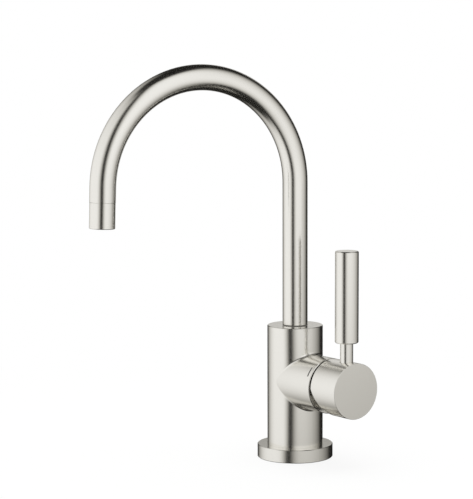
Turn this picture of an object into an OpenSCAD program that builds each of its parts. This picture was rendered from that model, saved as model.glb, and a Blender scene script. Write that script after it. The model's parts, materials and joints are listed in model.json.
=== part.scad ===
// Single-lever basin mixer tap with a swivelling gooseneck spout and an upright side lever.
// The origin is on the body's axis in the plane of the deck. +Z is up, the stub and the
// lever lie towards +X, and the spout reaches towards -Y, swung a little towards -X.

/* [Base] */
// Outer diameter of the round base flange
flange_d = 55; // [50:0.5:70]
// Height of the base flange above the deck
flange_h = 9.5; // [6:0.5:14]
// Diameter of the body's foot inside the flange
foot_d = 36; // [33:0.5:38]
// Thickness of the deck gasket
gasket_t = 1.6; // [1:0.1:3]
// Radial width of the deck gasket
gasket_w = 3.4; // [2:0.1:5]

/* [Body] */
// Diameter of the upright body
body_d = 40.4; // [40.2:0.2:48]
// Height of the body's flat top above the deck
body_h = 97; // [96:1:130]
// Diameter of the side stub that holds the cartridge
stub_d = 39.9; // [37:0.1:40.1]
// Distance from the body's axis to the end of the stub
stub_reach = 40.4; // [39.4:0.2:48]
// Height of the stub's axis above the deck
stub_z = 57.5; // [50:0.5:58]
// Chamfer on the outer edges of the body, the stub and the flange
edge = 0.4; // [0.2:0.1:1]

/* [Deck connections] */
// Core diameter of the two threaded hose ports
port_d = 9; // [8.6:0.1:9.6]
// Depth of the hose port threads
port_l = 12; // [8:1:18]
// Distance between the two hose ports
port_pitch = 16; // [14:0.5:18]
// Offset of the hose ports from the body's axis towards the lever
port_x = 4; // [2:0.5:5]
// Core diameter of the threaded fixing stud hole
stud_d = 6.8; // [5:0.1:8.5]
// Depth of the fixing stud hole
stud_l = 14; // [8:1:25]
// Offset of the fixing stud hole from the body's axis, away from the lever
stud_x = 10; // [9:0.5:12]

/* [Spout] */
// Outside diameter of the spout tube
spout_d = 18.2; // [17.8:0.1:22]
// Wall of the spout tube
spout_wall = 1.2; // [0.8:0.1:1.4]
// Radius of the bend at the tube's centre line
bend_r = 76; // [50:1:120]
// Height of the straight riser above the body's top
riser_l = 104; // [95:1:200]
// Angle that the bend turns through
bend_sweep = 178.2; // [170:0.1:184]
// Straight end of the tube between the bend and the aerator
outlet_l = 10.8; // [8:0.2:18]
// Angle of the spout from the -Y direction at rest
spout_swing = 8; // [-40:1:40]

/* [Spout bearing] */
// Diameter of the sealed journal below the spout
tail_d = 17; // [16.8:0.1:19]
// Length of the journal inside the body
tail_l = 22; // [22:0.5:23]
// Diameter of the waterway through the journal
tail_bore_d = 11; // [8:0.5:11.5]
// Wall of the split bearing bush
bush_t = 0.9; // [0.7:0.1:1]
// Height of the split bearing bush
bush_l = 9; // [7:0.5:9]
// Thickness of the slide ring that shows under the spout
slide_t = 0.5; // [0.4:0.1:1.5]
// Cord diameter of the two journal seals
seal_cord = 2.1; // [1.8:0.1:2.2]
// Diameter of the set screw that keeps the spout in the body
keeper_d = 4.1; // [3.5:0.1:5]
// Distance of the keeper screw below the body's top
keeper_drop = 11.5; // [11.3:0.1:12]

/* [Aerator] */
// Outside diameter of the aerator housing
aerator_d = 17.9; // [17.4:0.1:18.2]
// Length of the aerator housing below the tube
aerator_l = 17.8; // [14:0.2:22]
// Wall of the aerator housing
aerator_wall = 0.95; // [0.8:0.05:1.2]
// Length of the threaded spigot inside the tube
spigot_l = 6; // [4:0.5:8]
// Height of the flow insert
insert_l = 7; // [5:0.5:8]
// Number of bars each way in the outlet screen
screen_bars = 6; // [4:1:8]

/* [Cartridge] */
// Diameter of the cartridge housing
housing_d = 28; // [27:0.2:28.4]
// Length of the housing behind its shoulder
housing_l = 19; // [18.5:0.5:21]
// Wall of the housing round the spindle
housing_wall = 3.3; // [3:0.1:3.5]
// Length of the thread on the cartridge nut
nut_l = 6.4; // [5.6:0.2:6.4]
// Outside diameter of the thread on the cartridge nut
nut_d = 30; // [29.6:0.2:31]
// Thickness of the cartridge's base plate
plate_t = 4; // [3:0.5:5]
// Thickness of each ceramic disc
disc_t = 3; // [2.5:0.1:3.2]
// Diameter of the moving ceramic disc
disc_d = 15; // [13:0.5:15.4]
// Diameter of the pivot pin
pin_d = 3; // [2.5:0.1:3.4]
// Distance from the pivot pin to the driving tip
arm_l = 6; // [5.6:0.1:6.4]

/* [Lever] */
// Diameter of the lever hub
hub_d = 39.8; // [38:0.1:42]
// Length of the lever hub
hub_l = 26; // [25:0.5:34]
// Chamfer on the front edge of the hub
hub_edge = 0.15; // [0.1:0.05:1]
// Wall of the hollow part of the hub
hub_wall = 2.9; // [2:0.1:3]
// Depth of the hollow part of the hub
hub_hollow = 14.1; // [13.5:0.1:14.4]
// Gap between the stub and the hub
hub_gap = 2; // [1.9:0.1:3]
// Angle of the relief cut under the hub's rim
relief_angle = 26; // [24:0.5:30]
// Height above the hub's axis where the relief cut starts
relief_up = 0.5; // [0:0.1:2]
// Greatest tilt of the lever
lever_tilt = 20; // [10:1:20]
// Width of the square lever stem
stem_w = 7; // [6:0.1:7.4]
// Diameter of the lever's neck
neck_d = 9.2; // [7:0.1:12]
// Length of the neck that shows between the hub and the grip
neck_l = 13.6; // [8:0.2:20]
// Distance of the lever's axis from the hub's rim
neck_x = 15.8; // [15.6:0.1:17]
// Diameter of the grip
grip_d = 16.7; // [12:0.1:20]
// Length of the grip
grip_l = 65; // [40:1:66]
// Rounded edge at the ends of the grip
grip_edge = 0.6; // [0.3:0.1:1.5]

/* [Index mark] */
// Width of the engraved temperature mark
mark_w = 1.1; // [0.5:0.1:1.3]
// Depth of the engraved temperature mark
mark_depth = 0.35; // [0.2:0.05:0.6]
// Distance of the mark from the stub's end
mark_in = 3.6; // [2:0.1:6]
// Angle where the mark starts, up from the front
mark_from = 25; // [0:1:60]
// Angle that the mark covers
mark_span = 21; // [10:1:40]

/* [Hidden] */
$fn = 96;

// Clearances: a running fit, a seated fit, and a free gap, each on the radius or the face
run_gap = 0.08;
seat_gap = 0.05;
free_gap = 0.3;
// Extra length that carries a cut past a face
past = 1;
// The straight end of the spout is let into the bend by this much, and is that much thinner
weld = 0.01;

// Radii from the diameters above
flange_r = flange_d / 2;
foot_r = foot_d / 2;
body_r = body_d / 2;
stub_r = stub_d / 2;
spout_r = spout_d / 2;
tube_bore_r = spout_r - spout_wall;
hub_r = hub_d / 2;
grip_r = grip_d / 2;
neck_r = neck_d / 2;

// Spout bearing, from the body's top downwards
tail_r = tail_d / 2;
seat_r = tail_r + run_gap;
seat_floor = body_h - tail_l - past;
bush_r = seat_r - seat_gap;
bush_bore_r = bush_r - bush_t;
tail_neck_r = bush_bore_r - run_gap;
tail_foot = body_h - tail_l;
tail_shoulder = body_h - bush_l - free_gap;
groove_spare = 0.4;
groove_h = seal_cord + groove_spare;
groove_land = 1.1;
seal_inset = 0.5;
first_seal_z = tail_foot + seal_cord + seal_inset;
seal_zs = [first_seal_z, first_seal_z + groove_h + groove_land];
seal_r = seat_r - seat_gap - seal_cord / 2;
keeper_z = body_h - keeper_drop;
keeper_tip_r = 1;
keeper_groove_depth = 1.5;
keeper_groove_r = tail_r - keeper_groove_depth;
keeper_groove_h = 2 * (keeper_tip_r + free_gap);
keeper_sunk = 1.3;
keeper_out = body_r - keeper_sunk;
keeper_thread_inset = 0.6;
keeper_key_depth = 2;
slide_gap = 0.1;
tube_foot = body_h + slide_t + slide_gap;
spring_z = body_h + riser_l;
tail_spigot_l = 12;

// Aerator, measured downstream from the end of the bend
aerator_r = aerator_d / 2;
aerator_bore_r = aerator_r - aerator_wall;
joint_gap = 0.25;
aerator_end = outlet_l + aerator_l;
waterway_r = 5.5;
screen_in = 1;
screen_t = 1.4;
screen_rim = 0.9;
bar_w = 0.5;
bar_sunk = 0.2;
insert_end = aerator_end - screen_in - screen_t;
insert_start = insert_end - insert_l;
washer_t = 1.5;
insert_wall = 1.2;
insert_floor = 1.6;
jet_r = 0.6;
step_z = insert_start - washer_t;

// Cartridge, along +X from the body's axis
shoulder_x = stub_reach - nut_l;
housing_x = shoulder_x - housing_l;
plate_x = housing_x - plate_t;
seal_proud = 0.5;
floor_x = plate_x - seal_proud;
housing_r = housing_d / 2;
socket_gap = 0.2;
socket_r = housing_r + socket_gap;
bore_r = housing_r - housing_wall;
collar_step = 1;
collar_wall = 1.3;
collar_proud = 0.6;
collar_bore_r = bore_r - collar_step;
collar_r = collar_bore_r + collar_wall;
collar_x = stub_reach + collar_proud;
disc_gap = 0.05;
moving_x = housing_x + disc_t + disc_gap;
driver_x = moving_x + disc_t;
driver_t = 3.4;
slot_floor_t = 0.65;
tip_r = 2;
tip_l = 5;
slot_gap = 0.15;
tip_x = driver_x + slot_floor_t + free_gap + tip_r;
pivot_x = tip_x + arm_l;
carrier_x = driver_x + driver_t + free_gap;
carrier_sunk = 1.5;
carrier_front = collar_x - carrier_sunk;
carrier_r = bore_r - run_gap;
carrier_nose_r = collar_bore_r - run_gap;
boss_wall = 3;
boss_r = pin_d / 2 + boss_wall;
window_gap = 0.4;
window_w = stem_w + 2 * free_gap;
window_up = max(boss_r, tip_r + arm_l * sin(lever_tilt)) + window_gap;
window_low = (carrier_front - pivot_x) * tan(lever_tilt) + stem_w / 2 / cos(lever_tilt) + window_gap;
// Waterways through the discs and the plate: [y, z] from the stub's axis
inlet_y = 5.6;
inlet_z = 3.2;
outlet_z = -6.2;
ways = [[inlet_y, inlet_z], [-inlet_y, inlet_z], [0, outlet_z]];
way_r = 2.8;
disc_way_r = 2.2;
way_seal_r = 4.3;
riser_way_r = 3.5;
riser_way_x = -3;
feed_r = 3;

// Cartridge nut and shroud
nut_r = nut_d / 2;
nut_head_wall = 1.6;
nut_head_r = collar_r + nut_head_wall;
nut_head_t = 2.2;
nut_slots = 6;
nut_slot_w = 3;
nut_slot_depth = 0.9;
shroud_gap = 0.1;
shroud_bore_r = nut_head_r + shroud_gap;
shroud_t = 0.7;
shroud_l = 4.6;
shroud_lip_r = collar_r;

// Lever, along +X
rim_x = stub_reach + hub_gap;
face_x = rim_x + hub_l;
hollow_x = rim_x + hub_hollow;
hollow_r = hub_r - hub_wall;
socket_l = 6.5;
stem_end = hollow_x + socket_l - free_gap;
lever_x = rim_x + neck_x;
spot_r = neck_r + free_gap;
spot_depth = 0.1;
spot_z = stub_z + sqrt(hub_r * hub_r - spot_r * spot_r) - spot_depth;
grip_z = stub_z + hub_r + neck_l;
stud_r = 3;
stud_depth = 10;
grip_stud_l = 14;
screw_r = 2.1;
screw_inset = 3;
screw_x = hollow_x + screw_inset;
screw_l = 8;
key_af = 2.5;
key_depth = 2.5;
mark_x = stub_reach - mark_in;

// Colours of the finishes
satin = [0.78, 0.76, 0.73];
brass = [0.80, 0.66, 0.36];
steel = [0.70, 0.71, 0.72];
dark = [0.16, 0.16, 0.16];
rubber = [0.07, 0.07, 0.07];
ceramic = [0.93, 0.92, 0.88];
plastic = [0.86, 0.87, 0.88];
blue = [0.35, 0.50, 0.70];

// Upright cylinder with chamfers at its lower and upper edges
module chamfered(r, h, low, high) {
    rotate_extrude()
        polygon([[0, 0], [r - low, 0], [r, low], [r, h - high], [r - high, h], [0, h]]);
}

// Cylinder along +X on the stub's axis, from x0 to x1
module bar_x(r, x0, x1) {
    translate([x0, 0, stub_z]) rotate([0, 90, 0]) cylinder(r = r, h = x1 - x0);
}

// Cylinder along +X through a point [y, z] measured from the stub's axis
module way_x(r, x0, x1, yz) {
    translate([0, yz[0], yz[1]]) bar_x(r, x0, x1);
}

module tube_x(r, bore, x0, x1) {
    difference() {
        bar_x(r, x0, x1);
        bar_x(bore, x0 - past, x1 + past);
    }
}

// Upright tube standing on z = 0
module tube(r, bore, h) {
    difference() {
        cylinder(r = r, h = h);
        translate([0, 0, -past]) cylinder(r = bore, h = h + 2 * past);
    }
}

// Hexagonal key recess, upright, with its floor at z = 0
module key_recess(depth) {
    cylinder(r = key_af / sqrt(3), h = depth + past, $fn = 6);
}

// The spout's own direction: children are drawn with the spout towards -Y
module swung() {
    rotate([0, 0, -spout_swing]) children();
}

// At the end of the bend, with +Z pointing downstream
module at_outlet() {
    swung()
        translate([0, bend_r * (cos(bend_sweep) - 1), spring_z + bend_r * sin(bend_sweep)])
            rotate([bend_sweep, 0, 0]) children();
}

// A band round the stub at the temperature mark, from radius r0 to r1
module mark_band(r0, r1) {
    translate([mark_x, 0, stub_z]) rotate([90, 0, -90]) rotate([0, 0, mark_from])
        rotate_extrude(angle = mark_span) translate([r0, -mark_w / 2]) square([r1 - r0, mark_w]);
}

module base_flange() {
    gasket_mid = (foot_r + flange_r) / 2;
    color(satin) difference() {
        chamfered(flange_r, flange_h, edge, edge);
        translate([0, 0, -past]) cylinder(r = foot_r + seat_gap, h = flange_h + 2 * past);
        translate([0, 0, -past])
            tube(gasket_mid + gasket_w / 2, gasket_mid - gasket_w / 2, gasket_t + past);
    }
}

module base_gasket() {
    gasket_mid = (foot_r + flange_r) / 2;
    color(rubber)
        tube(gasket_mid + gasket_w / 2 - seat_gap, gasket_mid - gasket_w / 2 + seat_gap, gasket_t);
}

// Body with its stub, spout seat, cartridge socket, waterways and threaded holes
module body_shell() {
    color(satin) difference() {
        union() {
            cylinder(r = foot_r, h = flange_h);
            translate([0, 0, flange_h]) chamfered(body_r, body_h - flange_h, 0, edge);
            translate([0, 0, stub_z]) rotate([0, 90, 0]) chamfered(stub_r, stub_reach, 0, edge);
        }
        translate([0, 0, seat_floor]) cylinder(r = seat_r, h = body_h - seat_floor + past);
        bar_x(socket_r, floor_x, shoulder_x + past);
        bar_x(nut_r + seat_gap, shoulder_x, stub_reach + past);
        waterways();
        deck_holes();
        translate([0, 0, keeper_z]) rotate([-90, 0, 0])
            cylinder(r = keeper_d / 2 + seat_gap, h = body_r + past);
        mark_band(stub_r - mark_depth, stub_r + past);
    }
}

module waterways() {
    inlet_top = stub_z + inlet_z + way_r;
    for (side = [-1, 1]) {
        translate([port_x, side * port_pitch / 2, port_l - past])
            cylinder(r = feed_r, h = inlet_top - port_l + past);
        way_x(way_r, port_x, floor_x + past, [side * inlet_y, inlet_z]);
    }
    way_x(way_r, riser_way_x, floor_x + past, [0, outlet_z]);
    translate([riser_way_x, 0, stub_z + outlet_z - way_r])
        cylinder(r = riser_way_r, h = seat_floor - stub_z - outlet_z + way_r + past);
}

module deck_holes() {
    for (side = [-1, 1])
        translate([port_x, side * port_pitch / 2, -past]) cylinder(d = port_d, h = port_l + past);
    translate([-stud_x, 0, -past]) cylinder(d = stud_d, h = stud_l + past);
}

module index_mark() {
    color(dark) mark_band(stub_r - mark_depth, stub_r - seat_gap);
}

module slide_ring() {
    color(dark) translate([0, 0, body_h]) tube(spout_r, tail_neck_r + free_gap, slide_t);
}

// Bearing bush, split so that it snaps round the journal
module spout_bush() {
    slit = 1.2;
    color(plastic) translate([0, 0, body_h - bush_l]) difference() {
        tube(bush_r, bush_bore_r, bush_l);
        translate([-bush_r - past, -slit / 2, -past]) cube([bush_r, slit, bush_l + 2 * past]);
    }
}

// Set screw in the back of the body, with its plain tip in the journal's groove
module keeper_screw() {
    tip_y = keeper_groove_r + free_gap;
    thread_y = seat_r + keeper_thread_inset;
    color(steel) translate([0, 0, keeper_z]) rotate([-90, 0, 0]) difference() {
        union() {
            translate([0, 0, tip_y]) cylinder(r = keeper_tip_r, h = thread_y - tip_y + seat_gap);
            translate([0, 0, thread_y]) cylinder(d = keeper_d, h = keeper_out - thread_y);
        }
        translate([0, 0, keeper_out - keeper_key_depth]) key_recess(keeper_key_depth);
    }
}

module port_seals() {
    color(rubber) for (yz = ways)
        difference() {
            way_x(way_seal_r - seat_gap, floor_x, plate_x + seal_proud, yz);
            way_x(way_r, floor_x - past, plate_x + seal_proud + past, yz);
        }
}

module cartridge_base() {
    color(blue) difference() {
        bar_x(housing_r, plate_x, housing_x);
        for (yz = ways) {
            way_x(way_seal_r, plate_x - past, plate_x + seal_proud, yz);
            way_x(way_r, plate_x - past, housing_x + past, yz);
        }
    }
}

module cartridge_housing() {
    color(plastic) difference() {
        union() {
            bar_x(housing_r, housing_x, shoulder_x);
            bar_x(collar_r, shoulder_x - past, collar_x);
        }
        bar_x(bore_r, housing_x - past, shoulder_x + free_gap);
        bar_x(collar_bore_r, shoulder_x, collar_x + past);
    }
}

module fixed_disc() {
    color(ceramic) difference() {
        bar_x(bore_r - free_gap, housing_x, housing_x + disc_t);
        for (yz = ways) way_x(disc_way_r, housing_x - past, housing_x + disc_t + past, yz);
    }
}

module cartridge_nut() {
    color(brass) difference() {
        union() {
            bar_x(nut_r, shoulder_x, stub_reach);
            bar_x(nut_head_r, stub_reach - past, stub_reach + nut_head_t);
        }
        bar_x(collar_r + seat_gap, shoulder_x - past, stub_reach + nut_head_t + past);
        for (i = [0 : nut_slots - 1])
            translate([stub_reach + seat_gap, 0, stub_z]) rotate([i * 360 / nut_slots, 0, 0])
                translate([0, -nut_slot_w / 2, nut_head_r - nut_slot_depth])
                    cube([nut_head_t + past, nut_slot_w, nut_slot_depth + past]);
    }
}

// Shroud that closes the view into the gap behind the hub
module nut_shroud() {
    end_x = stub_reach + shroud_l;
    color(dark) difference() {
        bar_x(shroud_bore_r + shroud_t, stub_reach, end_x);
        bar_x(shroud_bore_r, stub_reach - past, end_x - shroud_t);
        bar_x(shroud_lip_r, stub_reach, end_x + past);
    }
}

module spout_tube() {
    color(satin) union() {
        swung() {
            translate([0, 0, tube_foot]) tube(spout_r, tube_bore_r, spring_z - tube_foot);
            translate([0, -bend_r, spring_z]) rotate([90, 0, 90])
                rotate_extrude(angle = bend_sweep) translate([bend_r, 0]) difference() {
                    circle(r = spout_r);
                    circle(r = tube_bore_r);
                }
        }
        at_outlet() translate([0, 0, -weld])
            tube(spout_r - weld, tube_bore_r + weld, outlet_l - joint_gap + weld);
    }
}

// Journal brazed into the tube's foot, with grooves for two seals and the keeper screw
module spout_tail() {
    spigot_r = tube_bore_r - seat_gap;
    color(brass) difference() {
        union() {
            translate([0, 0, tail_foot]) cylinder(r = tail_r, h = tail_shoulder - tail_foot);
            translate([0, 0, tail_foot]) cylinder(r = tail_neck_r, h = tube_foot - tail_foot + past);
            translate([0, 0, tube_foot]) cylinder(r = spigot_r, h = tail_spigot_l);
        }
        translate([0, 0, tail_foot - past])
            cylinder(d = tail_bore_d, h = tube_foot + tail_spigot_l - tail_foot + 2 * past);
        for (z = seal_zs)
            translate([0, 0, z - groove_h / 2])
                tube(tail_r + past, seal_r - seal_cord / 2 - seat_gap, groove_h);
        translate([0, 0, keeper_z - keeper_groove_h / 2])
            tube(tail_r + past, keeper_groove_r, keeper_groove_h);
    }
}

module tail_seals() {
    color(rubber) for (z = seal_zs)
        translate([0, 0, z]) rotate_extrude() translate([seal_r, 0]) circle(d = seal_cord);
}

// Visible aerator housing with a threaded spigot inside the tube
module aerator_housing() {
    spigot_r = tube_bore_r - seat_gap;
    color(satin) at_outlet() difference() {
        union() {
            translate([0, 0, outlet_l]) chamfered(aerator_r, aerator_l, 0, edge);
            translate([0, 0, outlet_l - spigot_l]) cylinder(r = spigot_r, h = spigot_l + past);
        }
        translate([0, 0, outlet_l - spigot_l - past]) cylinder(r = waterway_r, h = aerator_end);
        translate([0, 0, step_z]) cylinder(r = aerator_bore_r, h = aerator_end);
    }
}

module aerator_seal() {
    color(rubber) at_outlet() translate([0, 0, step_z])
        tube(aerator_bore_r - seat_gap, waterway_r, washer_t);
}

// Flow insert: a cup whose top plate has two rings of jets
module aerator_insert() {
    jets = [[8, 4.6], [4, 2.2]];
    color(plastic) at_outlet() translate([0, 0, insert_start]) difference() {
        cylinder(r = aerator_bore_r - seat_gap, h = insert_l);
        translate([0, 0, insert_floor]) cylinder(r = aerator_bore_r - insert_wall, h = insert_l);
        for (ring = jets, i = [0 : ring[0] - 1])
            rotate([0, 0, i * 360 / ring[0]]) translate([ring[1], 0, -past])
                cylinder(r = jet_r, h = insert_floor + 2 * past, $fn = 24);
    }
}

// Outlet screen: a ring crossed by a grid of thin bars
module aerator_screen() {
    screen_r = aerator_bore_r - seat_gap;
    ring_r = screen_r - screen_rim;
    pitch = 2 * ring_r / (screen_bars + 1);
    color(plastic) at_outlet() translate([0, 0, insert_end]) union() {
        tube(screen_r, ring_r, screen_t);
        intersection() {
            cylinder(r = ring_r + bar_sunk, h = screen_t);
            for (i = [1 : screen_bars], turn = [0, 90])
                rotate([0, 0, turn]) translate([i * pitch - ring_r - bar_w / 2, -ring_r, 0])
                    cube([bar_w, 2 * ring_r, screen_t]);
        }
    }
}

// Rotor of the cartridge, with a window for the tilting stem and a bore for its pin
module spindle_carrier() {
    color(plastic) difference() {
        union() {
            bar_x(carrier_r, carrier_x, shoulder_x);
            bar_x(carrier_nose_r, shoulder_x - past, carrier_front);
        }
        translate([carrier_x - past, -window_w / 2, stub_z - window_low])
            cube([carrier_front - carrier_x + 2 * past, window_w, window_low + window_up]);
        translate([pivot_x, -carrier_r - past, stub_z]) rotate([-90, 0, 0])
            cylinder(d = pin_d, h = 2 * (carrier_r + past));
    }
}

module pivot_pin() {
    pin_l = 2 * (carrier_r - free_gap);
    color(steel) translate([pivot_x, -pin_l / 2, stub_z]) rotate([-90, 0, 0])
        cylinder(d = pin_d, h = pin_l);
}

// Ceramic disc with the mixing pocket in its sliding face
module moving_disc() {
    pocket_r = 4.9;
    pocket_z = -2.5;
    pocket_t = disc_t * 0.6;
    color(ceramic) difference() {
        bar_x(disc_d / 2, moving_x, driver_x);
        way_x(pocket_r, moving_x - past, moving_x + pocket_t, [0, pocket_z]);
    }
}

// Driver clipped on the moving disc, with the slot for the stem's tip
module disc_driver() {
    slot_y = tip_l / 2 + slot_gap;
    slot_z = tip_r + slot_gap;
    color(blue) difference() {
        bar_x(disc_d / 2, driver_x, driver_x + driver_t);
        translate([driver_x + slot_floor_t, -slot_y, stub_z - slot_z])
            cube([driver_t, 2 * slot_y, 2 * slot_z]);
    }
}

// Stem that tilts on the pivot pin, with the driving tip at its inner end
module lever_stem() {
    arm_t = 3.2;
    color(steel) translate([pivot_x, 0, stub_z]) difference() {
        union() {
            translate([0, -stem_w / 2, -stem_w / 2]) cube([stem_end - pivot_x, stem_w, stem_w]);
            translate([0, stem_w / 2, 0]) rotate([90, 0, 0]) cylinder(r = boss_r, h = stem_w);
            translate([-arm_l, -tip_l / 2, -arm_t / 2]) cube([arm_l, tip_l, arm_t]);
            translate([-arm_l, tip_l / 2, 0]) rotate([90, 0, 0]) cylinder(r = tip_r, h = tip_l);
        }
        translate([0, stem_w, 0]) rotate([90, 0, 0])
            cylinder(r = pin_d / 2 + run_gap, h = 2 * stem_w);
    }
}

// Round hub: hollow behind the rim, relieved below so that it can tilt towards the stub
module handle_hub() {
    color(satin) difference() {
        translate([rim_x, 0, stub_z]) rotate([0, 90, 0]) chamfered(hub_r, hub_l, 0, hub_edge);
        bar_x(hollow_r, rim_x - past, hollow_x);
        translate([rim_x, 0, stub_z + relief_up]) rotate([0, -relief_angle, 0])
            translate([-hub_d, -hub_d, -2 * hub_d]) cube([hub_d, 2 * hub_d, 2 * hub_d]);
        translate([hollow_x - past, -stem_w / 2 - seat_gap, stub_z - stem_w / 2 - seat_gap])
            cube([socket_l + past, stem_w + 2 * seat_gap, stem_w + 2 * seat_gap]);
        translate([screw_x, 0, stub_z - hub_r - past])
            cylinder(r = screw_r + seat_gap, h = hub_r - stem_w / 2 + past);
        translate([lever_x, 0, spot_z]) cylinder(r = spot_r, h = hub_r);
        translate([lever_x, 0, spot_z - stud_depth]) cylinder(r = stud_r + seat_gap, h = stud_depth + past);
    }
}

// Set screw that clamps the hub on the stem, reached from below
module hub_screw() {
    screw_top = stub_z - stem_w / 2;
    color(steel) translate([screw_x, 0, screw_top]) rotate([180, 0, 0]) difference() {
        cylinder(r = screw_r, h = screw_l);
        translate([0, 0, screw_l - key_depth]) key_recess(key_depth);
    }
}

// Turned neck with a stud at each end
module lever_neck() {
    stud_end = 0.5;
    color(satin) translate([lever_x, 0, 0]) union() {
        translate([0, 0, spot_z]) cylinder(r = neck_r, h = grip_z - spot_z);
        translate([0, 0, spot_z - stud_depth + stud_end])
            cylinder(r = stud_r, h = stud_depth - stud_end + past);
        translate([0, 0, grip_z - past])
            cylinder(r = stud_r, h = grip_stud_l - stud_end + past);
    }
}

module lever_grip() {
    color(satin) translate([lever_x, 0, grip_z]) difference() {
        chamfered(grip_r, grip_l, grip_edge, grip_edge);
        translate([0, 0, -past]) cylinder(r = stud_r + seat_gap, h = grip_stud_l + past);
    }
}

base_flange();
base_gasket();
body_shell();
index_mark();
slide_ring();
spout_bush();
keeper_screw();
port_seals();
cartridge_base();
cartridge_housing();
fixed_disc();
cartridge_nut();
nut_shroud();
spout_tube();
spout_tail();
tail_seals();
aerator_housing();
aerator_seal();
aerator_insert();
aerator_screen();
spindle_carrier();
pivot_pin();
moving_disc();
disc_driver();
lever_stem();
handle_hub();
hub_screw();
lever_neck();
lever_grip();
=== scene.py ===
import json
import math

import bpy
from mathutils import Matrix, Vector


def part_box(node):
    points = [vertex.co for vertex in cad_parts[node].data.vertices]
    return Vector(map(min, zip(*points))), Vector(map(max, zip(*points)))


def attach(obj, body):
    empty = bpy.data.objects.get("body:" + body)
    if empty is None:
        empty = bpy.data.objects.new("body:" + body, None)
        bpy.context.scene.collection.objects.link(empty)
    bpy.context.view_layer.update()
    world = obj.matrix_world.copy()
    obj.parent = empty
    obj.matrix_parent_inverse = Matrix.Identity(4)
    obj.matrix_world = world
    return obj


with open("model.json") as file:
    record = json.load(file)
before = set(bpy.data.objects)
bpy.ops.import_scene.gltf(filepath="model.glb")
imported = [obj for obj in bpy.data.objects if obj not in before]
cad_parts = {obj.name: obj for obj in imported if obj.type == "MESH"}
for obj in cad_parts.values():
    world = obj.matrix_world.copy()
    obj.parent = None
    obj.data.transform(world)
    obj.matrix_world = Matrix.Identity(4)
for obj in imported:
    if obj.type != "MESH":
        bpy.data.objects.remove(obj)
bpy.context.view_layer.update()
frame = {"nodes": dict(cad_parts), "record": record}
cadNodes = frame["nodes"]
slotOf = {row["node"]: row["material_slot"] for row in frame["record"]["subparts"]}
print("frame loaded:", len(cadNodes), "CAD nodes")


# Short helpers for node trees and objects
def newTree(material):
    material.use_nodes = True
    tree = material.node_tree
    tree.nodes.clear()
    return tree


def addNode(tree, kind, inputs=None, **settings):
    node = tree.nodes.new(kind)
    for key, value in settings.items():
        setattr(node, key, value)
    for key, value in (inputs or {}).items():
        if isinstance(value, bpy.types.NodeSocket):
            tree.links.new(value, node.inputs[key])
        else:
            node.inputs[key].default_value = value
    return node


def maths(tree, operation, *values, clamp=False):
    node = addNode(tree, "ShaderNodeMath", dict(enumerate(values)), operation=operation, use_clamp=clamp)
    return node.outputs[0]


def joinAxes(tree, x=0.0, y=0.0, z=0.0):
    return addNode(tree, "ShaderNodeCombineXYZ", {0: x, 1: y, 2: z}).outputs[0]


def splitAxes(tree, vector):
    return addNode(tree, "ShaderNodeSeparateXYZ", {0: vector}).outputs


def lengthOf(tree, vector):
    return addNode(tree, "ShaderNodeVectorMath", {0: vector}, operation="LENGTH").outputs["Value"]


def noiseOf(tree, vector, scale, detail, roughness=0.5):
    return addNode(tree, "ShaderNodeTexNoise", {
        "Vector": vector, "Scale": scale, "Detail": detail, "Roughness": roughness}).outputs["Fac"]


def mixColour(tree, factor, first, second):
    # Sockets 6 and 7 and output 2 are the Mix node's colours
    return addNode(tree, "ShaderNodeMix", {0: factor, 6: first, 7: second}, data_type="RGBA").outputs[2]


def addObject(name, data):
    piece = bpy.data.objects.new(name, data)
    bpy.context.scene.collection.objects.link(piece)
    return piece


# Camera at the viewing place: angles in degrees, lengths in metres, pixels of the 473 x 499 picture
cameraView = {
    "azimuth": 51.39, "distance": 1.32989, "height": 0.29905, "pitch": 6.31,
    "focalPixels": 1845.5, "axisPixelX": 295.09, "pictureWidth": 473, "pictureHeight": 499, "sensor": 36.0,
    "clip": (0.05, 50.0),
}


def makeCamera(view):
    azimuth, pitch = math.radians(view["azimuth"]), math.radians(view["pitch"])
    data = bpy.data.cameras.new("tapCamera")
    data.sensor_width = view["sensor"]
    data.lens = view["focalPixels"] / view["pictureHeight"] * view["sensor"]
    data.shift_x = (view["pictureWidth"] / 2 - view["axisPixelX"]) / view["pictureHeight"]
    data.clip_start, data.clip_end = view["clip"]
    camera = addObject("tapCamera", data)
    camera.location = (
        view["distance"] * math.sin(azimuth), -view["distance"] * math.cos(azimuth), view["height"])
    ahead = Vector((
        -math.sin(azimuth) * math.cos(pitch), math.cos(azimuth) * math.cos(pitch), -math.sin(pitch)))
    camera.rotation_mode = "QUATERNION"
    camera.rotation_quaternion = ahead.to_track_quat("-Z", "Y")
    bpy.context.scene.camera = camera


makeCamera(cameraView)
bpy.context.scene.view_settings.view_transform = "Standard"
print("camera placed")


# Soft studio: white world and floor, and a dark round tent with soft boxes that only reflections see
studio = {
    "worldLevel": 0.75, "floorRadius": 4.0, "floorSides": 64, "floorColour": (0.86, 0.86, 0.85),
    "floorWhite": 0.86, "floorFade": (0.12, 0.45), "lampHeight": 1.5, "lampSize": 1.6, "lampWatts": 14.0,
}
# The tent's glow is its level away from the boxes, shadeTint is the tint of its dark parts, and
# reach is how far it runs up and down
tent = {
    "radius": 0.42, "foot": -1.0, "top": 1.6, "rowStep": 0.05, "reach": 9.0, "glow": 0.015,
    "shadeTint": (1.0, 0.965, 0.88),
}
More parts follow.
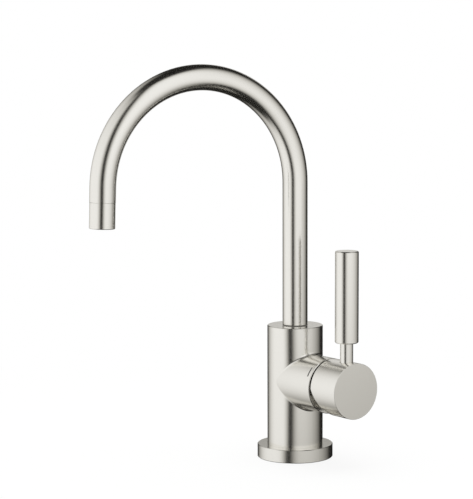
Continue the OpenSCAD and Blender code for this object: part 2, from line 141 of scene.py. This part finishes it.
# Turns are in degrees from the camera's side, minus to the left, and heights in metres. Each box
# starts to glow at its first value, is full from the second to the third, and ends at the last.
softBoxes = {
    "leftBox": {
        "level": 0.92, "turns": (-150, -85, -52, -25), "heights": (-0.6, 0.1, 0.16, 1.1)},
    "rightBox": {
        "level": 0.94, "turns": (-14, 16, 26, 125), "heights": (-0.32, 0.28, 0.55, 1.5)},
    "farBox": {
        "level": 0.74, "turns": (150, 178, 182, 202), "heights": (0.02, 0.3, 0.3, 0.55)},
}
fullRound = 360


def hiddenBut(piece, *kinds):
    for kind in ("camera", "diffuse", "glossy", "transmission", "volume_scatter", "shadow"):
        setattr(piece, "visible_" + kind, kind in kinds)


def backgroundRays(tree):
    path = addNode(tree, "ShaderNodeLightPath").outputs
    either = maths(tree, "MAXIMUM", path["Is Camera Ray"], path["Is Glossy Ray"])
    return maths(tree, "MAXIMUM", either, path["Is Transmission Ray"])


def makeWorld():
    world = bpy.data.worlds.new("whiteStudio")
    world.use_nodes = True
    tree = world.node_tree
    tree.nodes.clear()
    level = studio["worldLevel"]
    shown = addNode(tree, "ShaderNodeBackground", {"Color": (1, 1, 1, 1), "Strength": 1.0})
    light = addNode(tree, "ShaderNodeBackground", {"Color": (1, 1, 1, 1), "Strength": level})
    mixed = addNode(
        tree, "ShaderNodeMixShader", {0: backgroundRays(tree), 1: light.outputs[0], 2: shown.outputs[0]})
    addNode(tree, "ShaderNodeOutputWorld", {"Surface": mixed.outputs[0]})
    bpy.context.scene.world = world


def makeFloor():
    mesh = bpy.data.meshes.new("paleFloor")
    count, radius = studio["floorSides"], studio["floorRadius"]
    ring = [(radius * math.cos(i * math.tau / count), radius * math.sin(i * math.tau / count), 0)
            for i in range(count)]
    mesh.from_pydata(ring, [], [tuple(range(count))])
    floor = addObject("paleFloor", mesh)
    material = bpy.data.materials.new("paleFloor")
    tree = newTree(material)
    lit = addNode(tree, "ShaderNodeBsdfDiffuse", {"Color": (*studio["floorColour"], 1)})
    white = addNode(tree, "ShaderNodeEmission", {"Color": (1, 1, 1, 1), "Strength": 1.0})
    reach = lengthOf(tree, addNode(tree, "ShaderNodeTexCoord").outputs["Object"])
    near, far = studio["floorFade"]
    whiteness = addNode(tree, "ShaderNodeMapRange", {
        "Value": reach, "From Min": near, "From Max": far, "To Min": studio["floorWhite"], "To Max": 1.0},
        interpolation_type="SMOOTHSTEP").outputs[0]
    share = maths(tree, "MULTIPLY", backgroundRays(tree), whiteness)
    upper = addNode(tree, "ShaderNodeMixShader", {0: share, 1: lit.outputs[0], 2: white.outputs[0]})
    clear = addNode(tree, "ShaderNodeBsdfTransparent")
    fromBelow = addNode(tree, "ShaderNodeNewGeometry").outputs["Backfacing"]
    mixed = addNode(tree, "ShaderNodeMixShader", {0: fromBelow, 1: upper.outputs[0], 2: clear.outputs[0]})
    addNode(tree, "ShaderNodeOutputMaterial", {"Surface": mixed.outputs[0]})
    mesh.materials.append(material)
    hiddenBut(floor, "camera", "diffuse", "shadow")


def softEdge(place, outer, inner):
    # Rises from the outer place, steeply at first, and is even from the inner one on
    share = min(1.0, max(0.0, (place - outer) / (inner - outer)))
    return share * (2 - share)


def boxTone(box, turn, z):
    tone = box["level"]
    for place, (start, full, hold, end) in ((turn, box["turns"]), (z, box["heights"])):
        tone *= softEdge(place, start, full) * softEdge(place, end, hold)
    return tone


def tentTone(turn, z):
    # A turn from 0 to 360 is also asked for a round less, because some boxes lie at minus turns
    return tent["glow"] + sum(
        boxTone(box, turn, z) + boxTone(box, turn - fullRound, z) for box in softBoxes.values())


def makeTent():
    # A column of corners for each degree, closed in at the top and the foot, its tone at each corner
    radius, step = tent["radius"], tent["rowStep"]
    count = round((tent["top"] - tent["foot"]) / step)
    heights = [-tent["reach"], *(tent["foot"] + step * k for k in range(count + 1)), tent["reach"]]
    rows = [(0, heights[0]), *((radius, z) for z in heights), (0, heights[-1])]
    points, levels, faces = [], [], []
    for turn in range(fullRound + 1):
        angle = math.radians(cameraView["azimuth"] + turn)
        for reach, z in rows:
            points.append((reach * math.sin(angle), -reach * math.cos(angle), z))
            levels.append(tentTone(turn, z))
        if turn:
            for k in range(len(points) - len(rows), len(points) - 1):
                faces.append((k - len(rows), k, k + 1, k + 1 - len(rows)))
    mesh = bpy.data.meshes.new("reflectionTent")
    mesh.from_pydata(points, [], faces)
    mesh.attributes.new("tone", "FLOAT", "POINT").data.foreach_set("value", levels)
    wall = addObject("reflectionTent", mesh)
    material = bpy.data.materials.new("reflectionTent")
    tree = newTree(material)
    level = addNode(tree, "ShaderNodeAttribute", attribute_name="tone").outputs["Fac"]
    tint = mixColour(tree, level, (*tent["shadeTint"], 1), (1, 1, 1, 1))
    glow = addNode(tree, "ShaderNodeEmission", {"Color": tint, "Strength": level})
    addNode(tree, "ShaderNodeOutputMaterial", {"Surface": glow.outputs[0]})
    material.cycles.emission_sampling = "NONE"
    mesh.materials.append(material)
    hiddenBut(wall, "glossy")


def makeLamp():
    data = bpy.data.lights.new("topLamp", "AREA")
    data.shape, data.size, data.energy = "DISK", studio["lampSize"], studio["lampWatts"]
    lamp = addObject("topLamp", data)
    lamp.location = (0, 0, studio["lampHeight"])
    hiddenBut(lamp, "diffuse", "shadow")


makeWorld()
makeFloor()
makeTent()
makeLamp()
print("studio made")


# The tap's own places and sizes, read from the frame
def middleOf(node):
    low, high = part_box(node)
    return (low + high) / 2


bodyMesh = cadNodes["body_shell"].data
ringLow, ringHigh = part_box("slide_ring")
outletPlace = middleOf("aerator_housing")
bodyRadius = -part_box("body_shell")[0].x
stubHeight = middleOf("handle_hub").z
stubRadius = max(abs(point.co.y) for point in bodyMesh.vertices if point.co.x > bodyRadius)
spoutRadius = (ringHigh.x - ringLow.x) / 2
bendRadius = math.hypot(outletPlace.x, outletPlace.y) / 2
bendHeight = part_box("spout_tube")[1].z - spoutRadius - bendRadius
spoutAim = Vector((outletPlace.x, outletPlace.y)).normalized()

# Axis that each piece was turned on, where it isn't Z
turnedOnX = {
    "handle_hub", "cartridge_nut", "nut_shroud", "lever_stem", "cartridge_base", "cartridge_housing",
    "fixed_disc", "moving_disc", "disc_driver", "spindle_carrier", "port_seals"}
turnedOnY = {"keeper_screw", "pivot_pin"}


def bentPlace(tree, place):
    # The tube unrolled, so that the grain keeps running round it through the bend
    parts = splitAxes(tree, place)
    ahead = maths(
        tree, "ADD", maths(tree, "MULTIPLY", parts["X"], spoutAim.x),
        maths(tree, "MULTIPLY", parts["Y"], spoutAim.y))
    aside = maths(
        tree, "SUBTRACT", maths(tree, "MULTIPLY", parts["X"], spoutAim.y),
        maths(tree, "MULTIPLY", parts["Y"], spoutAim.x))
    up = maths(tree, "SUBTRACT", parts["Z"], bendHeight)
    rise = maths(tree, "MAXIMUM", up, 0.0)
    back = maths(tree, "SUBTRACT", bendRadius, ahead)
    turn = maths(tree, "ARCTAN2", rise, back)
    outward = maths(tree, "SUBTRACT", lengthOf(tree, joinAxes(tree, rise, back)), bendRadius)
    along = maths(tree, "ADD", maths(tree, "MULTIPLY", turn, bendRadius), maths(tree, "MINIMUM", up, 0.0))
    return joinAxes(tree, outward, aside, along)


def bodyPlace(tree, place):
    # Upright on the body, sideways on its stub, which starts just outside the body's radius
    justOutside = 0.0001
    parts = splitAxes(tree, place)
    sideways = joinAxes(tree, parts["Y"], maths(tree, "SUBTRACT", parts["Z"], stubHeight), parts["X"])
    reach = lengthOf(tree, joinAxes(tree, parts["X"], parts["Y"]))
    onStub = maths(tree, "GREATER_THAN", reach, bodyRadius + justOutside)
    return addNode(
        tree, "ShaderNodeMix", {0: onStub, 4: place, 5: sideways}, data_type="VECTOR").outputs[1]


def turnedPlace(tree, node):
    place = addNode(tree, "ShaderNodeTexCoord").outputs["Object"]
    if node in ("spout_tube", "aerator_housing"):
        return bentPlace(tree, place)
    if node == "body_shell":
        return bodyPlace(tree, place)
    centred = addNode(
        tree, "ShaderNodeVectorMath", {0: place, 1: tuple(middleOf(node))}, operation="SUBTRACT").outputs[0]
    parts = splitAxes(tree, centred)
    if node in turnedOnX:
        return joinAxes(tree, parts["Y"], parts["Z"], parts["X"])
    if node in turnedOnY:
        return joinAxes(tree, parts["Z"], parts["X"], parts["Y"])
    return centred


# Effects that several finishes share
def newGroup(name, inputs, outputs):
    group = bpy.data.node_groups.new(name, "ShaderNodeTree")
    for socketName, value in inputs.items():
        kind = "NodeSocketVector" if value is None else "NodeSocketFloat"
        socket = group.interface.new_socket(socketName, in_out="INPUT", socket_type=kind)
        if value is not None:
            socket.default_value = value
    for socketName, kind in outputs.items():
        group.interface.new_socket(socketName, in_out="OUTPUT", socket_type=kind)
    given = group.nodes.new("NodeGroupInput").outputs
    result = group.nodes.new("NodeGroupOutput").inputs
    return group, given, result


# How fine each noise is, how evenly edges wear, and how much of a mask its fine noise makes up
effects = {
    "lineDetail": 3.0, "lineRoughness": 0.6, "skinDetail": 3.0, "skinRoughness": 0.55, "slowDetail": 2.0,
    "bevelSamples": 6, "leastWear": 0.3, "lineShare": 0.6, "skinShare": 0.4,
}


def makeTurnedGrainGroup():
    # Fine lines round the Z axis of the vector, on sides, faces and chamfers alike
    group, given, result = newGroup(
        "turnedGrain",
        {"Vector": None, "Lines Per Metre": 2600.0, "Streak Scale": 70.0, "Cloud Scale": 55.0},
        {"Lines": "NodeSocketFloat", "Clouds": "NodeSocketFloat"})
    parts = splitAxes(group, given["Vector"])
    radius = lengthOf(group, joinAxes(group, parts["X"], parts["Y"]))
    along = maths(group, "ADD", parts["Z"], radius)
    stretched = joinAxes(
        group, maths(group, "MULTIPLY", parts["X"], given["Streak Scale"]),
        maths(group, "MULTIPLY", parts["Y"], given["Streak Scale"]),
        maths(group, "MULTIPLY", along, given["Lines Per Metre"]))
    lines = noiseOf(group, stretched, 1.0, effects["lineDetail"], effects["lineRoughness"])
    clouds = noiseOf(group, given["Vector"], given["Cloud Scale"], effects["slowDetail"])
    group.links.new(lines, result["Lines"])
    group.links.new(clouds, result["Clouds"])
    return group


def makeEdgeWearGroup():
    # Mask of the sharp edges, broken up by small wear, and the normal softened across them
    group, given, result = newGroup(
        "edgeWear", {"Vector": None, "Width": 0.0002, "Gain": 3.0, "Break Scale": 900.0},
        {"Mask": "NodeSocketFloat", "Normal": "NodeSocketVector"})
    soft = addNode(
        group, "ShaderNodeBevel", {"Radius": given["Width"]}, samples=effects["bevelSamples"]).outputs[0]
    flat = addNode(group, "ShaderNodeNewGeometry").outputs["Normal"]
    match = addNode(group, "ShaderNodeVectorMath", {0: soft, 1: flat}, operation="DOT_PRODUCT")
    sharp = maths(group, "SUBTRACT", 1.0, match.outputs["Value"])
    patches = noiseOf(group, given["Vector"], given["Break Scale"], effects["slowDetail"])
    broken = maths(group, "ADD", patches, effects["leastWear"])
    worn = maths(group, "MULTIPLY", maths(group, "MULTIPLY", sharp, given["Gain"]), broken, clamp=True)
    group.links.new(worn, result["Mask"])
    group.links.new(soft, result["Normal"])
    return group


def makeMouldedGrainGroup():
    # Fine skin and slow unevenness of a moulded, pressed or fired surface
    group, given, result = newGroup(
        "mouldedGrain", {"Vector": None, "Grain Scale": 2600.0, "Mottle Scale": 160.0},
        {"Grain": "NodeSocketFloat", "Mottle": "NodeSocketFloat"})
    grain = noiseOf(
        group, given["Vector"], given["Grain Scale"], effects["skinDetail"], effects["skinRoughness"])
    mottle = noiseOf(group, given["Vector"], given["Mottle Scale"], effects["slowDetail"])
    group.links.new(grain, result["Grain"])
    group.links.new(mottle, result["Mottle"])
    return group


turnedGrain = makeTurnedGrainGroup()
edgeWear = makeEdgeWearGroup()
mouldedGrain = makeMouldedGrainGroup()


def blendOf(tree, first, second, share):
    # Share of the first mask, and the rest of the second
    return maths(
        tree, "ADD", maths(tree, "MULTIPLY", first, share), maths(tree, "MULTIPLY", second, 1 - share))


# Metals: light and dark are the two tones of the grain, edge is the tone of a rubbed edge, and
# bumpDepth and edgeWidth are in metres
satinNickel = {
    "light": (0.907, 0.892, 0.850), "dark": (0.867, 0.852, 0.810), "edge": (0.93, 0.92, 0.88),
    "roughness": 0.20, "roughSpread": 0.04, "bump": 0.5, "bumpDepth": 0.0000010,
    "linesPerMetre": 2600, "streakScale": 70, "edgeWidth": 0.00015,
}
rawBrass = {
    "light": (0.80, 0.61, 0.30), "dark": (0.62, 0.44, 0.19), "edge": (0.88, 0.72, 0.42),
    "roughness": 0.30, "roughSpread": 0.16, "bump": 0.9, "bumpDepth": 0.000012,
    "linesPerMetre": 3400, "streakScale": 45, "edgeWidth": 0.0002,
}
plainSteel = {
    "light": (0.66, 0.66, 0.655), "dark": (0.48, 0.48, 0.475), "edge": (0.78, 0.78, 0.77),
    "roughness": 0.28, "roughSpread": 0.14, "bump": 0.8, "bumpDepth": 0.000008,
    "linesPerMetre": 4200, "streakScale": 60, "edgeWidth": 0.00012,
}


def makeTurnedMetal(name, finish, node):
    material = bpy.data.materials.new(name)
    tree = newTree(material)
    place = turnedPlace(tree, node)
    grain = addNode(tree, "ShaderNodeGroup", {
        "Vector": place, "Lines Per Metre": finish["linesPerMetre"], "Streak Scale": finish["streakScale"]},
        node_tree=turnedGrain).outputs
    rubbed = addNode(tree, "ShaderNodeGroup", {
        "Vector": place, "Width": finish["edgeWidth"]}, node_tree=edgeWear).outputs
    mask = blendOf(tree, grain["Lines"], grain["Clouds"], effects["lineShare"])
    colour = mixColour(tree, mask, (*finish["dark"], 1), (*finish["light"], 1))
    colour = mixColour(tree, rubbed["Mask"], colour, (*finish["edge"], 1))
    spread = maths(tree, "MULTIPLY", maths(tree, "SUBTRACT", mask, 0.5), finish["roughSpread"])
    bump = addNode(tree, "ShaderNodeBump", {
        "Height": grain["Lines"], "Strength": finish["bump"], "Distance": finish["bumpDepth"],
        "Normal": rubbed["Normal"]})
    surface = addNode(tree, "ShaderNodeBsdfPrincipled", {
        "Base Color": colour, "Metallic": 1.0, "Normal": bump.outputs[0],
        "Roughness": maths(tree, "ADD", spread, finish["roughness"])})
    addNode(tree, "ShaderNodeOutputMaterial", {"Surface": surface.outputs[0]})
    return material


# Moulded and pressed pieces: skin is the height of their fine grain, in metres
# Dark trim is a dark plastic, and its darkness also stands in for the shade in the gap round the cartridge
# nut: partly painted shade.
darkTrimAndGapShade = {
    "light": (0.050, 0.049, 0.047), "dark": (0.022, 0.022, 0.021), "edge": (0.12, 0.12, 0.115),
    "roughness": 0.48, "roughSpread": 0.16, "grainScale": 2600, "mottleScale": 240, "skin": 0.000012,
    "edgeWidth": 0.0002, "coat": 0.0,
}
sealRubber = {
    "light": (0.035, 0.035, 0.036), "dark": (0.012, 0.012, 0.013), "edge": (0.06, 0.06, 0.06),
    "roughness": 0.62, "roughSpread": 0.18, "grainScale": 3800, "mottleScale": 300, "skin": 0.00002,
    "edgeWidth": 0.0003, "coat": 0.0,
}
whiteAcetal = {
    "light": (0.86, 0.865, 0.86), "dark": (0.74, 0.75, 0.745), "edge": (0.92, 0.92, 0.915),
    "roughness": 0.42, "roughSpread": 0.12, "grainScale": 2200, "mottleScale": 120, "skin": 0.000008,
    "edgeWidth": 0.0002, "coat": 0.0,
}
blueAcetal = {
    "light": (0.13, 0.27, 0.52), "dark": (0.07, 0.17, 0.38), "edge": (0.25, 0.40, 0.64),
    "roughness": 0.40, "roughSpread": 0.12, "grainScale": 2200, "mottleScale": 120, "skin": 0.000008,
    "edgeWidth": 0.0002, "coat": 0.0,
}
discCeramic = {
    "light": (0.86, 0.84, 0.78), "dark": (0.77, 0.75, 0.69), "edge": (0.90, 0.89, 0.85),
    "roughness": 0.20, "roughSpread": 0.08, "grainScale": 5200, "mottleScale": 420, "skin": 0.000002,
    "edgeWidth": 0.0001, "coat": 0.4,
}


def makeMoulded(name, finish, node):
    material = bpy.data.materials.new(name)
    tree = newTree(material)
    place = turnedPlace(tree, node)
    skin = addNode(tree, "ShaderNodeGroup", {
        "Vector": place, "Grain Scale": finish["grainScale"], "Mottle Scale": finish["mottleScale"]},
        node_tree=mouldedGrain).outputs
    rubbed = addNode(tree, "ShaderNodeGroup", {
        "Vector": place, "Width": finish["edgeWidth"]}, node_tree=edgeWear).outputs
    mask = blendOf(tree, skin["Grain"], skin["Mottle"], effects["skinShare"])
    colour = mixColour(tree, mask, (*finish["dark"], 1), (*finish["light"], 1))
    colour = mixColour(tree, rubbed["Mask"], colour, (*finish["edge"], 1))
    spread = maths(tree, "MULTIPLY", maths(tree, "SUBTRACT", mask, 0.5), finish["roughSpread"])
    bump = addNode(tree, "ShaderNodeBump", {
        "Height": skin["Grain"], "Strength": 1.0, "Distance": finish["skin"], "Normal": rubbed["Normal"]})
    surface = addNode(tree, "ShaderNodeBsdfPrincipled", {
        "Base Color": colour, "Metallic": 0.0, "Normal": bump.outputs[0], "Coat Weight": finish["coat"],
        "Roughness": maths(tree, "ADD", spread, finish["roughness"])})
    addNode(tree, "ShaderNodeOutputMaterial", {"Surface": surface.outputs[0]})
    return material


# The slide ring is of a paler trim than the nut's shroud
slideTrim = {**darkTrimAndGapShade, "light": (0.210, 0.203, 0.190), "dark": (0.135, 0.130, 0.121)}
# Material slot of the record: name in Blender, settings, and the function that makes it
finishes = {
    "satin_nickel": ("satinNickel", satinNickel, makeTurnedMetal),
    "raw_brass": ("rawBrass", rawBrass, makeTurnedMetal),
    "plain_steel": ("plainSteel", plainSteel, makeTurnedMetal),
    "dark_trim": ("darkTrimAndGapShade", darkTrimAndGapShade, makeMoulded),
    "seal_rubber": ("sealRubber", sealRubber, makeMoulded),
    "white_acetal": ("whiteAcetal", whiteAcetal, makeMoulded),
    "blue_acetal": ("blueAcetal", blueAcetal, makeMoulded),
    "disc_ceramic": ("discCeramic", discCeramic, makeMoulded),
}


def dressNodes():
    for node, piece in cadNodes.items():
        name, finish, maker = finishes[slotOf[node]]
        finish = slideTrim if node == "slide_ring" else finish
        piece.data.materials.clear()
        piece.data.materials.append(maker(name + "_" + node, finish, node))


dressNodes()
print("finishes made for", len(cadNodes), "nodes")


# Small hollow fillet where the stub leaves the body, as a ball rolled along the join would leave it
saddleFillet = {"ballRadius": 0.002, "turns": 144, "arcSteps": 8, "sink": 0.0004}


def makeSaddleFillet():
    ball, turns, steps = saddleFillet["ballRadius"], saddleFillet["turns"], saddleFillet["arcSteps"]
    bodyShare, stubShare = bodyRadius / (bodyRadius + ball), stubRadius / (stubRadius + ball)
    axis = Vector((0, 0, stubHeight))
    points, normals, faces = [], [], []
    for i in range(turns):
        angle = math.tau * i / turns
        y, z = (stubRadius + ball) * math.cos(angle), (stubRadius + ball) * math.sin(angle)
        centre = Vector((math.sqrt((bodyRadius + ball) ** 2 - y * y), y, z))
        onBody = (Vector((centre.x * bodyShare, y * bodyShare, z)) - centre).normalized()
        onStub = (Vector((centre.x, y * stubShare, z * stubShare)) - centre).normalized()
        for k in range(steps + 1):
            toward = onBody.slerp(onStub, k / steps)
            points.append(axis + centre + toward * ball)
            normals.append(-toward)
        toCorner = (onBody + onStub).normalized()
        depth = ball / math.cos(onBody.angle(onStub) / 2) + saddleFillet["sink"]
        points.append(axis + centre + toCorner * depth)
        normals.append(toCorner)
    row = steps + 2
    for i in range(turns):
        here, there = i * row, (i + 1) % turns * row
        for k in range(row):
            n = (k + 1) % row
            faces.append((here + k, there + k, there + n, here + n))
    mesh = bpy.data.meshes.new("saddle_fillet")
    mesh.from_pydata(points, [], faces)
    mesh.shade_smooth()
    mesh.normals_split_custom_set_from_vertices(normals)
    mesh.materials.append(bodyMesh.materials[0])
    fillet = addObject("saddle_fillet", mesh)
    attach(fillet, "tap_body")


makeSaddleFillet()
print("saddle fillet made")


# Thread crests inside the three threaded holes under the body
threads = {
    "pitch": 0.001, "crest": 0.00025, "rootShare": 0.42, "tipShare": 0.06, "turnSteps": 36,
    "inset": 0.0008, "sink": 0.0001, "leastTaper": 0.05,
}


def makeThread(name, mount, material):
    mouth, inward = Vector(mount["pos_m"]), -Vector(mount["axis"])
    radius, length = mount["dims"]["r_mm"] / 1000, mount["dims"]["length_mm"] / 1000
    pitch, steps = threads["pitch"], threads["turnSteps"]
    count = int((length - 2 * threads["inset"]) / pitch * steps)
    # Each step adds the four corners of the ridge's section
    row = 4
    points, faces = [], []
    for i in range(count + 1):
        angle = math.tau * i / steps
        taper = max(threads["leastTaper"], min(1.0, i / steps, (count - i) / steps))
        root, tip = threads["rootShare"] * pitch * taper, threads["tipShare"] * pitch
        out = Vector((math.cos(angle), math.sin(angle), 0))
        wall, crest = radius + threads["sink"], radius - threads["crest"] * taper
        for reach, shift in ((wall, -root), (crest, -tip * taper), (crest, tip * taper), (wall, root)):
            points.append(mouth + out * reach + inward * (threads["inset"] + pitch * i / steps + shift))
        if i:
            here, there = row * (i - 1), row * i
            for k in range(row):
                n = (k + 1) % row
                faces.append((here + k, here + n, there + n, there + k))
    faces.append(tuple(reversed(range(row))))
    faces.append(tuple(row * count + k for k in range(row)))
    mesh = bpy.data.meshes.new(name)
    mesh.from_pydata(points, [], faces)
    mesh.materials.append(material)
    piece = addObject(name, mesh)
    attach(piece, "tap_body")


def makeThreads():
    material = makeTurnedMetal("rawBrass_threads", rawBrass, "base_flange")
    for mount in frame["record"]["mounts"]:
        if mount["kind"] == "threaded_hole":
            makeThread(mount["name"] + "_thread", mount, material)


makeThreads()
print("threads made")
